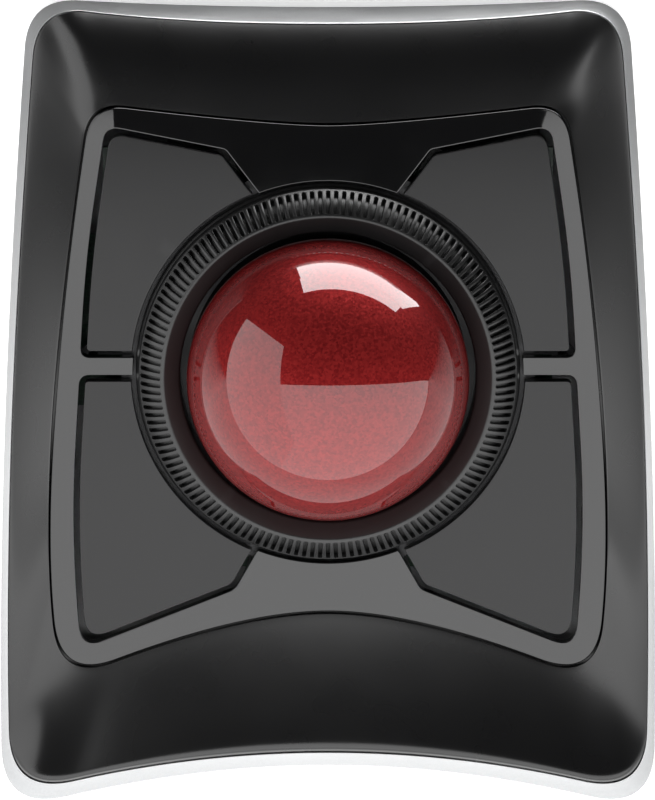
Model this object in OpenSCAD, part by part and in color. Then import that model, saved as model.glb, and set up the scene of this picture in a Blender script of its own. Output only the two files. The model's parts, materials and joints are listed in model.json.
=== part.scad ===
// Desktop trackball with four buttons and a scroll ring.
// Millimetres. Origin: centre of the footprint on the desk. +Y points away from the user, +Z up.
// The ball, the ring and the buttons belong to the head, a frame that leans towards the user.

/* [Head] */
// Diameter of the ball
ball_d = 55; // [54.8:0.1:55]
// Height of the ball's centre above the desk
head_z = 37.5; // [37.5:0.1:38]
// Distance of the ball's centre behind the origin
head_y = 4; // [3.8:0.1:4.2]
// Lean of the head towards the user, in degrees
lean = 12; // [11.8:0.1:12.2]
// Radius of the crown of the deck
crown_r = 420; // [400:10:500]

/* [Case] */
// Half of the width of the base
half_w = 64.4; // [64:0.1:65]
// Height of the seam between the shell and the base at the front corners
seam_z = 10.5; // [10.3:0.1:10.8]
// Wall of the shell
wall = 1.8; // [1.7:0.1:2]
// How hollow the side flanks are: 1 is straight
flank_power = 1.15; // [1.1:0.05:1.3]
// Thickness of the floor
floor_t = 2.2; // [2:0.1:2.4]
// Height of the feet under the floor
foot_h = 0.8; // [0.6:0.1:1]

/* [Controls] */
// Ridges round the scroll ring
ridges = 144; // [120:4:160]
// Width of the gap between a button and its frame
button_gap = 1.1; // [1:0.1:1.2]
// Windows round the encoder ring
windows = 48; // [36:2:60]

/* [Batteries] */
// Diameter of a cell
cell_d = 14.5; // [14:0.1:14.5]
// Length of a cell over its terminal
cell_l = 50.5; // [49.5:0.1:50.5]

/* [Hidden] */
$fn = 64;

shell_black = [0.11, 0.11, 0.12];
gloss_black = [0.04, 0.04, 0.05];
satin_black = [0.14, 0.14, 0.15];
rim_silver = [0.72, 0.73, 0.75];
ball_red = [0.55, 0.07, 0.06];
inner_black = [0.2, 0.2, 0.21];
steel = [0.75, 0.75, 0.77];
board_green = [0.05, 0.32, 0.2];
chip_black = [0.09, 0.09, 0.09];
brass = [0.8, 0.66, 0.35];

ball_r = ball_d / 2;
cell_r = cell_d / 2;
floor_z = foot_h + floor_t;

// Heights along the head's own axis, from the ball's centre
deck_t = -4.48;
plate_t = 2.4;
axle_t = -13.2;
flange_t = -12.4;
arm_t = -18.4;
arm_thick = 1.8;
board_t = -20.7;
board_thick = 1.6;
switch_h = 6.4;
plunger_t = -13.5;

// Radii round the head's axis
well_r = 38;
button_well_r = 38.4;
ring_bore_r = 34.6;
hub_r = ring_bore_r - 0.05;
cup_r = ball_r + 1.8;
cup_wall = 2;
bearing_r = 1.5;
bearing_at = ball_r + bearing_r + 0.02;
sensor_tilt = 50;
// Knurl slot: length along the ring's slope, width, size across the slope
knurl = [5, 0.8, 1.8];

// Outlines in plan are given by their control points, for the right half, from front to rear:
// front middle, front bend, front corner, side bulge, rear corner, rear bend, rear middle
deck_plan = [[0, -41.9], [16.5, -41.9], [53, -55.7], [57, -11.4], [46.4, 58], [11.6, 53.8], [0, 53.8]];
rim_plan = [
    [0, -68.9], [25, -68.9], [half_w - 1.9, -77.6], [half_w - 0.7, -12],
    [half_w - 7.6, 76.6], [26, 73], [0, 73]
];
base_plan = [
    [0, -72.1], [25, -72.1], [half_w - 0.1, -81.2], [half_w + 1, -12],
    [half_w - 5.2, 79.5], [26, 77.6], [0, 77.6]
];

// Corners of the right-hand buttons in plan, each with the length that its rounding takes
upper_button = [[30, 9.5], [47.1, 9.5], [46, 27.5], [42.4, 51.9], [20.6, 47.6], [12, 36.4]];
upper_round = [0, 0.9, 12, 3, 0.6, 0];
lower_button = [[11.7, -23.6], [18.9, -36.1], [47.6, -47.4], [49.2, -24], [47.4, 3.7], [30, 3.7]];
lower_round = [0, 1, 5, 16, 0.9, 0];

// Hinge lines of the right-hand buttons in the head frame: middle x, middle y, turn
upper_hinge = [43.9, 24, 7.1];
lower_hinge = [47.4, -22, 0];
// Where each button meets its switch: distance from the head's axis and bearing round it
switch_at = 45;
upper_bearing = 57;
lower_bearing = -55;
// Posts that join the cup's arms to the frame
posts = [[46, 0.9], [-46, 0.9], [0, 44.5], [14.2, -43.8], [-14.2, -43.8]];
board_posts = [[35, 0.7], [-35, 0.7], [0, 35]];

cell_z = 11.2;
cells_y = [40.65, 55.85];
bay_r = cell_r + 0.4;
bay_wall = 1.5;
bay_x = 30;
door_y = [26.6, 62.8];
door_x = 27.5;
door_axis = [29.5, 2.4];
// Case screws: x, y, height of the base's post, length of the screw
screw_posts = [[47, 60, 14, 17.5], [52, -58, 7, 5]];
screw_z = 3;
// Foot of the base's wall, and how much the wall flares towards it
wall_foot = 4.6;
wall_flare = 1.7;
foot_spots = [[46, 70.2, 5], [50, -68.5, 4.5]];
receiver_at = [37.5, 45.5];
power_at = [-45, 10];
pair_at = [-45, 24];

// ---------- curves ----------

function mix(a, b, s) = a + (b - a) * s;
function step_to(a, b, d) = d == 0 ? a : a + (b - a) * d / norm(b - a);
function bend(p, c, q, n) = [
    for (i = [0:n - 1]) let (t = i / n) (1 - t) * (1 - t) * p + 2 * t * (1 - t) * c + t * t * q
];

// Right half of an outline from its control points: five curves that run on smoothly
function half_outline(c, front_cut, rear_cut) =
    let (
        a = step_to(c[2], c[1], front_cut),
        b = step_to(c[2], c[3], front_cut),
        d = step_to(c[4], c[3], rear_cut),
        e = step_to(c[4], c[5], rear_cut)
    )
    concat(bend(c[0], c[1], a, 6), bend(a, c[2], b, 6), bend(b, c[3], d, 6), bend(d, c[4], e, 6),
        bend(e, c[5], c[6], 6), [c[6]]);
function outline(c, front_cut, rear_cut) =
    let (h = half_outline(c, front_cut, rear_cut), n = len(h))
    concat(h, [for (i = [n - 2:-1:1]) [-h[i][0], h[i][1]]]);

deck_line = outline(deck_plan, 12, 7);
rim_line = outline(rim_plan, 13, 10);
base_line = outline(base_plan, 13, 10);
spots = len(deck_line);
// Outward direction in plan at each point of the outlines
outward = [for (i = [0:spots - 1]) (rim_line[i] - deck_line[i]) / norm(rim_line[i] - deck_line[i])];

// Height of the deck's top over a point in plan
function deck_z(p) =
    let (v = (p[1] - head_y) / cos(lean))
    head_z + (p[1] - head_y) * tan(lean) + (deck_t - (p[0] * p[0] + v * v) / (2 * crown_r)) / cos(lean);

// The seam climbs along the sides towards the rear, and at the ends it stays a set drop under the
// deck's edge
seam_climb = 19.5;
climb_from = -77;
climb_over = 154;
climb_power = 1.8;
front_drop = 1.2;
rear_drop = 5.2;
deck_height = [for (p = deck_line) deck_z(p)];
// Share of the end's shape at each point: 1 at the front and the rear, 0 at the sides
end_share = [
    for (i = [0:spots - 1])
        let (along = rim_line[(i + 1) % spots] - rim_line[(i + spots - 1) % spots])
        pow(along[0] / norm(along), 2)
];
function side_seam(y) = seam_z + seam_climb * pow(max(0, (y - climb_from) / climb_over), climb_power);
seam_height = [
    for (i = [0:spots - 1])
        mix(side_seam(rim_line[i][1]),
            deck_height[i] - (outward[i][1] > 0 ? rear_drop : front_drop), end_share[i])
];

// One ring of a loft: outline moved outwards by d, at height z for every point
function level(line, d, z) = [
    for (i = [0:spots - 1]) let (p = line[i] + outward[i] * d) [p[0], p[1], z]
];
// The same, a set depth under the seam
function under_seam(line, d, depth) = [
    for (i = [0:spots - 1]) let (p = line[i] + outward[i] * d) [p[0], p[1], seam_height[i] - depth]
];
// A ring on the base's wall: up is 0 at its foot and 1 at the seam
function wall_ring(up) = [
    for (i = [0:spots - 1])
        let (p = mix(rim_line[i] + outward[i] * 0.5, base_line[i], pow(1 - up, wall_flare)))
        [p[0], p[1], mix(wall_foot, seam_height[i] - 0.6, up)]
];
// A ring beside the deck opening, a set depth under the deck
function under_deck(d, depth) = [
    for (i = [0:spots - 1])
        let (p = deck_line[i] + outward[i] * d) [p[0], p[1], deck_height[i] - depth]
];
// How far the rear falls before it rolls over, how far the front rises and dips, and how late each
// of them rolls
rear_fall = 1.6;
front_rise = 1.8;
front_dip = 2.7;
rear_roll = 3.2;
front_roll = 60;
// Height on the shell: s is 0 at the deck and 1 at the seam. The sides are hollow and steep. The
// front is a shallow dish with a rolled edge, and the rear slopes gently and rolls over.
function side_height(i, s) = mix(seam_height[i], deck_height[i], pow(1 - s, flank_power));
function end_height(i, s) =
    let (
        rear = outward[i][1] > 0,
        rise = rear ? -rear_fall : front_rise,
        dip = rear ? 0 : front_dip * s * (1 - s),
        roll = pow(s, rear ? rear_roll : front_roll)
    )
    deck_height[i] + rise * s - dip - (deck_height[i] + rise - seam_height[i]) * roll;
function flank(s, inset) = [
    for (i = [0:spots - 1])
        let (
            p = mix(deck_line[i], rim_line[i], s) - outward[i] * inset,
            z = mix(side_height(i, s), end_height(i, s), end_share[i])
        )
        [p[0], p[1], inset == 0 ? z : max(z - inset - 3.2 * pow(1 - s, 4), seam_height[i] - 2)]
];

// Surface through a list of rings that all have the same number of points
module loft(rings, closed) {
    n = len(rings[0]);
    m = len(rings);
    sides = [
        for (j = [0:m - (closed ? 1 : 2)], i = [0:n - 1])
            let (a = j * n + i, b = j * n + (i + 1) % n, k = ((j + 1) % m) * n)
            each [[a, k + (i + 1) % n, b], [a, k + i, k + (i + 1) % n]]
    ];
    caps = closed ? [] : [[for (i = [0:n - 1]) i], [for (i = [n - 1:-1:0]) (m - 1) * n + i]];
    polyhedron([for (r = rings) each r], concat(sides, caps));
}

// Polygon with every edge moved outwards by d; corners run anticlockwise
function grow(pts, d) = [
    for (i = [0:len(pts) - 1])
        let (
            n = len(pts),
            u = pts[i] - pts[(i + n - 1) % n],
            v = pts[(i + 1) % n] - pts[i],
            p = [u[1], -u[0]] / norm(u),
            q = [v[1], -v[0]] / norm(v)
        )
        pts[i] + (p + q) * d / (1 + p * q)
];
// Polygon with its corners rounded
function soften(pts, cuts) = [
    for (i = [0:len(pts) - 1])
        let (n = len(pts), a = pts[(i + n - 1) % n], b = pts[(i + 1) % n])
        each cuts[i] == 0 ? [pts[i]] : concat(
            bend(step_to(pts[i], a, cuts[i]), pts[i], step_to(pts[i], b, cuts[i]), 4),
            [step_to(pts[i], b, cuts[i])]
        )
];

// ---------- shared placings ----------

module head() {
    translate([0, head_y, head_z]) rotate([lean, 0, 0]) children();
}

module pair() {
    children();
    mirror([1, 0, 0]) children();
}

module column(z) {
    translate([0, 0, z]) linear_extrude(60) children();
}

// Layer of the crowned deck, from a depth under its top, thick enough for a plate
module deck_layer(depth, thick) {
    top = [for (r = [0:12:84]) [r, deck_t - depth - r * r / (2 * crown_r)]];
    low = [for (r = [84:-12:0]) [r, deck_t - depth - thick - r * r / (2 * crown_r)]];
    head() rotate_extrude($fn = 96) polygon(concat(top, low));
}

// Frame of a button's hinge: the local Y axis is the axle, +X is outwards
module hinge_frame(h) {
    head() translate([h[0], h[1], axle_t]) rotate([0, 0, h[2]]) children();
}

module switch_frame(bearing) {
    head() rotate([0, 0, bearing]) translate([switch_at, 0, 0]) children();
}

// Axis of the tracking sensor: +Z runs outwards through the cup's wall
module sensor_frame() {
    head() rotate([180 - sensor_tilt, 0, 0]) children();
}

// ---------- case ----------

module top_shell() {
    color(shell_black) {
        difference() {
            loft(concat(
                [under_seam(rim_line, 0, 2.6)],
                [for (s = [1, 0.97, 0.92, 0.84, 0.72, 0.58, 0.44, 0.3, 0.15, 0]) flank(s, 0)],
                [under_deck(0, 3.2), under_deck(-1, 3.2), under_deck(-1, 4.7)],
                [for (s = [0.1, 0.3, 0.55, 0.8]) flank(s, wall)],
                [under_seam(rim_line, -2.2, 2.6)]
            ), true);
            // room for the frame's hinge ears
            pair() for (h = [upper_hinge, lower_hinge]) ear_room(h);
        }
        intersection() {
            pair() for (p = screw_posts) shell_post(p);
            loft([
                level(rim_line, -1, 7),
                for (s = [0.96, 0.8, 0.55, 0.3, 0.1]) flank(s, wall * 0.6)
            ], false);
        }
    }
}

module ear_room(h) {
    hinge_frame(h) for (y = [-10.4, 10.4]) translate([3, y, -0.6]) cube([4.4, 4.6, 6], center = true);
}

module shell_post(p) {
    translate([p[0], p[1], p[2] + 0.1]) difference() {
        cylinder(r = 3, h = 30);
        translate([0, 0, -1]) cylinder(r = 1.25, h = screw_z + p[3] + 1.5 - p[2]);
    }
}

module base_shell() {
    color(rim_silver) difference() {
        union() {
            loft([
                level(base_line, -4, foot_h), level(base_line, -1.2, foot_h + 1.2),
                for (up = [0, 0.3, 0.65, 1]) wall_ring(up),
                under_seam(rim_line, 0.3, 0.1), under_seam(rim_line, 0.3, 3),
                under_seam(rim_line, -2.8, 3), level(rim_line, -4, floor_z)
            ], false);
            pair() for (p = screw_posts) base_post(p);
            // ears for the door's hinge
            for (x = [-1, 1]) translate([x * 30.5, door_axis[0], 3]) cube([5, 3.8, 4], center = true);
            // pegs under the switch board
            for (y = [2, 17, 30]) translate([-52, y, floor_z - 0.5]) cylinder(r = 2, h = 3.5);
        }
        translate([-door_x - 0.4, door_y[0] - 0.7, -1])
            cube([2 * door_x + 0.8, door_y[1] - door_y[0] + 1.2, 4.3]);
        along_x(31.5) translate(door_axis) circle(1.05);
        receiver_room();
        pair() for (p = screw_posts) translate([p[0], p[1], 0]) {
            cylinder(r = 1.4, h = 20);
            cylinder(r = 2.7, h = screw_z);
        }
        pair() for (f = foot_spots) translate([f[0], f[1], 0]) cylinder(r = f[2] + 0.1, h = foot_h + 0.6);
        translate([power_at[0] - 2, power_at[1] - 5, 0]) cube([4, 10, 8]);
        translate([pair_at[0], pair_at[1], 0]) cylinder(r = 2.6, h = 8);
    }
}

module base_post(p) {
    translate([p[0], p[1], floor_z - 0.5]) cylinder(r = 3.4, h = p[2] - floor_z + 0.5);
}

// Profile of the battery bay across the cells, at a distance from their axes
module bay_profile(r, low) {
    width = cells_y[1] - cells_y[0] + 2 * r;
    intersection() {
        for (y = cells_y) translate([y, cell_z]) circle(r);
        translate([cells_y[0] - r, low]) square([width, cell_z + r - low]);
    }
    translate([cells_y[0], cell_z]) square([cells_y[1] - cells_y[0], r]);
    translate([cells_y[0] - r, low]) square([width, cell_z - low]);
}

module along_x(half) {
    rotate([90, 0, 90]) linear_extrude(2 * half, center = true) children();
}

// Tray on the floor: a bay for the cells, joined to a pocket for the receiver
module battery_tray() {
    color(inner_black) difference() {
        union() {
            along_x(bay_x + bay_wall) bay_profile(bay_r + bay_wall, floor_z);
            translate([receiver_at[0] - 4, receiver_at[1] - 8.7, floor_z]) cube([8, 17.4, 16.3]);
            translate([bay_x, receiver_at[1] - 8.7, floor_z]) cube([5, 17.4, 3]);
        }
        along_x(bay_x) bay_profile(bay_r, floor_z - 1);
        receiver_room();
    }
}

module receiver_room() {
    translate([receiver_at[0], receiver_at[1], 0]) {
        translate([-2.45, -6.2, 0]) cube([4.9, 12.4, 18.2]);
        translate([-3.1, -7.5, 0]) cube([6.2, 15, 6]);
    }
}

module rubber_feet() {
    color(inner_black) pair() for (f = foot_spots)
        translate([f[0], f[1], 0]) cylinder(r = f[2], h = foot_h + 0.6);
}

module battery_door() {
    color(rim_silver) difference() {
        union() {
            translate([-door_x, door_y[0], foot_h]) cube([2 * door_x, door_y[1] - door_y[0], 2]);
            along_x(door_x) translate(door_axis) circle(1.6);
            along_x(31) translate(door_axis) circle(1);
        }
        // finger recess at the free edge
        translate([0, door_y[1] - 4, foot_h]) cylinder(r = 5, h = 1.6, center = true);
    }
}

// ---------- frame and buttons ----------

module trim_frame() {
    color(gloss_black) {
        difference() {
            intersection() {
                column(5) polygon([for (i = [0:spots - 1]) deck_line[i] - outward[i] * 0.5]);
                deck_layer(0, plate_t);
            }
            head() cylinder(r = well_r, h = 40, center = true, $fn = 128);
            pair() {
                column(5) polygon(soften(grow(upper_button, button_gap), upper_round));
                column(5) polygon(soften(grow(lower_button, button_gap), lower_round));
            }
        }
        head() for (p = posts) translate([p[0], p[1], 0]) frame_post();
        pair() for (h = [upper_hinge, lower_hinge]) frame_ears(h);
    }
}

module frame_post() {
    difference() {
        union() {
            translate([0, 0, -11]) cylinder(r = 1.5, h = 3);
            translate([0, 0, arm_t]) cylinder(r = 2.4, h = -11 - arm_t);
        }
        translate([0, 0, arm_t - 1]) cylinder(r = 0.85, h = 6);
    }
}

module frame_ears(h) {
    hinge_frame(h) for (y = [-10.4, 10.4]) translate([0, y, 0]) difference() {
        union() {
            translate([-2.1, -1.7, -2]) cube([6.2, 3.4, 3.9]);
            translate([3.2, -1.7, 1.5]) cube([1.2, 3.4, 1.9]);
        }
        rotate([90, 0, 0]) cylinder(r = 1.25, h = 10, center = true);
    }
}

// A right-hand button; press is the place of its rib over the switch
module button(pts, cuts, h, bearing) {
    difference() {
        intersection() {
            column(5) polygon(soften(pts, cuts));
            deck_layer(0, plate_t);
        }
        head() cylinder(r = button_well_r, h = 40, center = true, $fn = 128);
    }
    hinge_frame(h) {
        translate([-1.5, -8, -1.4]) cube([3, 16, 4.4]);
        rotate([90, 0, 0]) cylinder(r = 1.2, h = 24, center = true);
    }
    switch_frame(bearing) translate([0, 0, plunger_t + 0.05]) cylinder(r = 1.2, h = 5.4);
}

module button_upper_right() {
    color(satin_black) button(upper_button, upper_round, upper_hinge, upper_bearing);
}

module button_upper_left() {
    mirror([1, 0, 0]) button_upper_right();
}

module button_lower_right() {
    color(satin_black) button(lower_button, lower_round, lower_hinge, lower_bearing);
}

module button_lower_left() {
    mirror([1, 0, 0]) button_lower_right();
}

// ---------- ball, cup and ring ----------

module ball() {
    color(ball_red) head() sphere(ball_r, $fn = 96);
}

module scroll_ring() {
    color(inner_black) head() difference() {
        rotate_extrude($fn = 144) polygon([
            [28.8, -2], [32.1, 0], [32.6, -0.2], [36.3, -3.9], [36.9, -4.6], [36.9, -6.8], [37.5, -7.2],
            [37.5, -10.4], [ring_bore_r, -10.4], [ring_bore_r, -5.4], [32.2, -5.4], [32.2, -9.5],
            [28.8, -9.5]
        ]);
        for (i = [0:ridges - 1]) rotate([0, 0, i * 360 / ridges])
            translate([34.45, 0, -2.05]) rotate([0, 45, 0]) cube(knurl, center = true);
    }
}

module encoder_ring() {
    color(chip_black) head() difference() {
        rotate_extrude($fn = 144) polygon([
            [34.8, -10.4], [40.4, -10.4], [40.4, -17.6], [39.4, -17.6], [39.4, -11.6], [34.8, -11.6]
        ]);
        for (i = [0:windows - 1]) rotate([0, 0, (i + 0.5) * 360 / windows])
            translate([39.9, 0, -16]) cube([3, 2.2, 2], center = true);
    }
}

module ball_cup() {
    color(inner_black) {
        head() difference() {
            union() {
                difference() {
                    sphere(cup_r + cup_wall, $fn = 96);
                    translate([0, 0, 19]) cube([80, 80, 60], center = true);
                }
                rotate_extrude($fn = 144) polygon([
                    [27.3, flange_t - 2], [38.8, flange_t - 2], [38.8, flange_t], [hub_r, flange_t],
                    [hub_r, -6], [32.4, -6], [32.4, flange_t], [27.3, flange_t]
                ]);
                for (a = [90, 210, 330]) rotate([0, 0, a]) rotate([0, 135, 0])
                    translate([0, 0, cup_r + 0.3]) cylinder(r = 3, h = 4);
                for (p = posts) arm(p);
                for (p = board_posts)
                    translate([p[0], p[1], board_t]) cylinder(r = 2, h = arm_t - board_t - 0.5);
            }
            sphere(cup_r, $fn = 96);
            for (a = [90, 210, 330]) rotate([0, 0, a]) rotate([0, 135, 0])
                cylinder(r = bearing_r + 0.02, h = bearing_at + bearing_r);
            for (p = posts) translate([p[0], p[1], arm_t - 5]) cylinder(r = 1.1, h = 8);
            for (p = board_posts) translate([p[0], p[1], board_t - 1]) cylinder(r = 0.7, h = 3.2);
            rotate([180 - sensor_tilt, 0, 0]) cylinder(r = 3.05, h = 40);
        }
        sensor_frame() for (y = [-7.4, 7.4]) translate([0, y, 0]) difference() {
            translate([0, 0, 30]) cylinder(r = 1.5, h = 4.3);
            translate([0, 0, 32]) cylinder(r = 0.6, h = 4);
        }
    }
}

// Flat arm from the cup's wall to a frame post
module arm(p) {
    rotate([0, 0, atan2(p[1], p[0])]) translate([0, 0, arm_t - arm_thick]) {
        translate([23.4, -2.5, 0]) cube([norm(p) - 23.4, 5, arm_thick]);
        translate([norm(p), 0, 0]) cylinder(r = 2.5, h = arm_thick);
    }
}

module ring_glides() {
    color("ivory") head() for (a = [0:60:300]) rotate([0, 0, a]) rotate_extrude(angle = 30, $fn = 144)
        translate([35.2, flange_t]) square([3.2, 0.78]);
}

module bearing_balls() {
    color(steel) head() for (a = [90, 210, 330]) rotate([0, 0, a]) rotate([0, 135, 0])
        translate([0, 0, bearing_at]) sphere(bearing_r, $fn = 32);
}

// ---------- electronics ----------

module sensor_lens() {
    color([0.85, 0.9, 0.95, 0.6]) sensor_frame() intersection() {
        translate([0, 0, cup_r + 0.3]) cylinder(r = 3, h = 2.1);
        sphere(cup_r + 2.3, $fn = 96);
    }
}

module optical_sensor() {
    color(chip_black) sensor_frame() {
        translate([0, 0, 33.1]) cube([9, 9, 2.2], center = true);
        for (x = [-5, 5], y = [-3, -1, 1, 3]) translate([x, y, 33.9]) cube([1.2, 0.5, 0.5], center = true);
    }
}

module sensor_board() {
    color(board_green) sensor_frame() difference() {
        translate([0, 0, 34.8]) cube([12, 18, 1], center = true);
        for (y = [-7.4, 7.4]) translate([0, y, 30]) cylinder(r = 0.8, h = 10);
    }
}

module main_board() {
    color(board_green) head() difference() {
        translate([-44, -42, board_t - board_thick]) cube([88, 84, board_thick]);
        cylinder(r = 30, h = 60, center = true);
        translate([-8, -36, -30]) cube([16, 20, 20]);
        for (p = board_posts) translate([p[0], p[1], -30]) cylinder(r = 0.9, h = 20);
    }
}

module board_parts() {
    color(chip_black) head() {
        // controller and radio
        translate([-37, -16, board_t]) cube([7, 7, 1], center = false);
        translate([-41, -30, board_t]) cube([6, 5, 1.2], center = false);
        // cable sockets
        translate([-4, -41.5, board_t]) cube([8, 4.5, 2]);
        translate([30, -20, board_t]) cube([8, 4, 3]);
        // capacitors and a crystal
        for (y = [-18, -13, -8]) translate([42, y, board_t]) cylinder(r = 2, h = 5);
        translate([-42, 12, board_t]) cube([4, 8, 1.6]);
    }
}

module microswitches() {
    color(chip_black) pair() for (b = [upper_bearing, lower_bearing]) switch_frame(b) difference() {
        translate([-2.9, -6.4, board_t]) cube([5.8, 12.8, switch_h]);
        translate([0, 0, plunger_t - 2.9]) cylinder(r = 1, h = 5);
    }
}

module plunger(bearing) {
    switch_frame(bearing) translate([0, 0, plunger_t - 1.9]) cylinder(r = 0.94, h = 1.9);
}

module plunger_upper_right() {
    color("firebrick") plunger(upper_bearing);
}

module plunger_upper_left() {
    mirror([1, 0, 0]) plunger_upper_right();
}

module plunger_lower_right() {
    color("firebrick") plunger(lower_bearing);
}

module plunger_lower_left() {
    mirror([1, 0, 0]) plunger_lower_right();
}

// Fork with a lamp in one leg and a detector in the other
module encoder_sensor() {
    color(chip_black) head() rotate([0, 0, 28]) {
        translate([36.6, -2.5, board_t]) cube([6.8, 5, 2.4]);
        translate([36.6, -2.5, board_t]) cube([2.2, 5, 5.9]);
        translate([41.2, -2.5, board_t]) cube([2.2, 5, 5.9]);
    }
}

// ---------- batteries and underside ----------

// A cell with its positive end at +X, or at -X when turned
module cell(y, turned) {
    color(steel) translate([turned ? -1 : 1, y, cell_z]) rotate([0, turned ? -90 : 90, 0]) {
        translate([0, 0, -cell_l / 2]) cylinder(r = cell_r, h = cell_l - 1.4);
        translate([0, 0, cell_l / 2 - 1.6]) cylinder(r = 2.75, h = 1.6);
    }
}

module battery_front() {
    cell(cells_y[0], false);
}

module battery_rear() {
    cell(cells_y[1], true);
}

// Conical spring along +Z from the origin, swept as a six-sided wire
module coil(h, r_low, r_high, turns, wire) {
    steps = turns * 20;
    points = [
        for (i = [0:steps]) let (a = i * 18, f = i / steps, r = mix(r_low, r_high, f))
            for (k = [0:5]) let (b = k * 60, d = r + wire * cos(b))
                [d * cos(a), d * sin(a), h * f + wire * sin(b)]
    ];
    sides = [
        for (i = [0:steps - 1], k = [0:5])
            let (a = i * 6 + k, b = i * 6 + (k + 1) % 6)
            each [[a, b, b + 6], [a, b + 6, a + 6]]
    ];
    ends = [[5, 4, 3, 2, 1, 0], [for (k = [0:5]) steps * 6 + k]];
    polyhedron(points, concat(sides, ends));
}

module battery_springs() {
    color(steel) for (s = [-1, 1])
        translate([-s * (bay_x - 0.95), s < 0 ? cells_y[1] : cells_y[0], cell_z])
            rotate([0, s * 90, 0]) coil(3.8, 4.6, 2.6, 3, 0.4);
}

// A plate with a stud at the positive end of each cell, and a plate behind its spring
module battery_contacts() {
    color(brass) for (s = [-1, 1]) translate([0, s > 0 ? cells_y[0] : cells_y[1], cell_z]) {
        translate([s * (bay_x - 0.25), 0, 0]) cube([0.5, 9, 9], center = true);
        translate([-s * (bay_x - 0.25), 0, 0]) cube([0.5, 10.4, 10.4], center = true);
        translate([s * (bay_x - 2), 0, 0]) rotate([0, s * 90, 0]) cylinder(r = 2.2, h = 1.6);
    }
}

module switch_board() {
    color(board_green) {
        translate([-55, -1, 6]) cube([17, 34, 1.2]);
        translate([power_at[0] - 3, power_at[1] - 4, 4.4]) cube([6, 10, 1.7]);
        translate([pair_at[0] - 2.5, pair_at[1] - 2.5, 4.7]) cube([5, 5, 1.4]);
    }
}

module power_switch() {
    color(inner_black) translate([power_at[0], power_at[1], 0]) {
        translate([-1.9, -4.8, foot_h + 0.3]) cube([3.8, 5.2, floor_t]);
        translate([-3.4, -6.6, floor_z + 0.05]) cube([6.8, 8.8, 0.9]);
    }
}

module pair_button() {
    color(inner_black) translate([pair_at[0], pair_at[1], 0]) {
        translate([0, 0, foot_h + 0.5]) cylinder(r = 2.5, h = floor_t);
        translate([0, 0, floor_z + 0.05]) cylinder(r = 3.4, h = 0.9);
    }
}

module usb_receiver() {
    translate([receiver_at[0], receiver_at[1], 0]) {
        color(inner_black) translate([-2.9, -7.2, foot_h]) cube([5.8, 14.4, 5]);
        color(steel) difference() {
            translate([-2.25, -6, foot_h + 5]) cube([4.5, 12, 12]);
            translate([-1.2, -5.6, foot_h + 6]) cube([3, 11.2, 12]);
        }
    }
}

// ---------- screws ----------

// Screw along +Z from the underside of its head
module screw(r, head_r, head_h, l) {
    difference() {
        union() {
            translate([0, 0, -head_h]) cylinder(r = head_r, h = head_h);
            cylinder(r = r, h = l);
        }
        for (a = [0, 90]) rotate([0, 0, a])
            translate([0, 0, -head_h]) cube([head_r * 1.2, 0.5, head_h], center = true);
    }
}

module case_screws() {
    color(steel) pair() for (p = screw_posts)
        translate([p[0], p[1], screw_z]) screw(1.2, 2.5, 1.4, p[3]);
}

module head_screws() {
    color(steel) head() for (p = posts)
        translate([p[0], p[1], arm_t - arm_thick]) screw(0.8, 1.9, 0.45, 5);
}

module board_screws() {
    color(steel) {
        head() for (p = board_posts)
            translate([p[0], p[1], board_t - board_thick]) screw(0.65, 1.6, 1, 3);
        sensor_frame() for (y = [-7.4, 7.4])
            translate([0, y, 35.3]) mirror([0, 0, 1]) screw(0.55, 1.4, 0.8, 2.6);
    }
}

top_shell();
base_shell();
battery_tray();
trim_frame();
button_upper_left();
button_upper_right();
button_lower_left();
button_lower_right();
scroll_ring();
encoder_ring();
ball();
ball_cup();
ring_glides();
bearing_balls();
sensor_lens();
optical_sensor();
sensor_board();
main_board();
board_parts();
microswitches();
plunger_upper_left();
plunger_upper_right();
plunger_lower_left();
plunger_lower_right();
encoder_sensor();
battery_front();
battery_rear();
battery_springs();
battery_contacts();
battery_door();
switch_board();
power_switch();
pair_button();
usb_receiver();
rubber_feet();
case_screws();
head_screws();
board_screws();
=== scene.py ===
"""Looks for the desktop trackball: fine outer pieces, materials, studio light and camera.

Lengths in this file are millimetres unless a name says otherwise; place() turns them into metres.
The head is the leaning frame that holds the ball, the ring and the buttons.
"""

import json
import math

import bpy
from mathutils import Matrix, Vector
from mathutils.geometry import delaunay_2d_cdt

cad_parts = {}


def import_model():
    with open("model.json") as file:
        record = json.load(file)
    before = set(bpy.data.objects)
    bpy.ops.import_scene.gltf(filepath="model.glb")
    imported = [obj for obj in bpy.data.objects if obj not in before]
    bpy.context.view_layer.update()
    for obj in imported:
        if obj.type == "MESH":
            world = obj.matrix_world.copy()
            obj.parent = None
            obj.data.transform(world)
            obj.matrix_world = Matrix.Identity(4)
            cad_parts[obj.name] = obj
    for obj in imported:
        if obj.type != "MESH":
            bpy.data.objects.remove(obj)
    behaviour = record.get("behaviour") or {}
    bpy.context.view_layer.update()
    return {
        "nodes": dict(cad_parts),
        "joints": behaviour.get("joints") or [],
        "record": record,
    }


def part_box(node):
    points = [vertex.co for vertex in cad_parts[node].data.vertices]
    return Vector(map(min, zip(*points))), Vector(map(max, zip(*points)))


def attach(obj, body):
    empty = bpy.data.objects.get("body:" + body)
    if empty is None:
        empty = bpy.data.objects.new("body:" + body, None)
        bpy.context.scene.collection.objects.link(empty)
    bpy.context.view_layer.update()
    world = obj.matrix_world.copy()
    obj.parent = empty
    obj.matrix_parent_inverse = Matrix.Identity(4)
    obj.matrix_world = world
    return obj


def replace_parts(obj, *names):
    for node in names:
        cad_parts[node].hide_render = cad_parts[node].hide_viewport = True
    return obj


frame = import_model()

MM = 0.001
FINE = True

# ---------- sizes from the frame ----------

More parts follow.
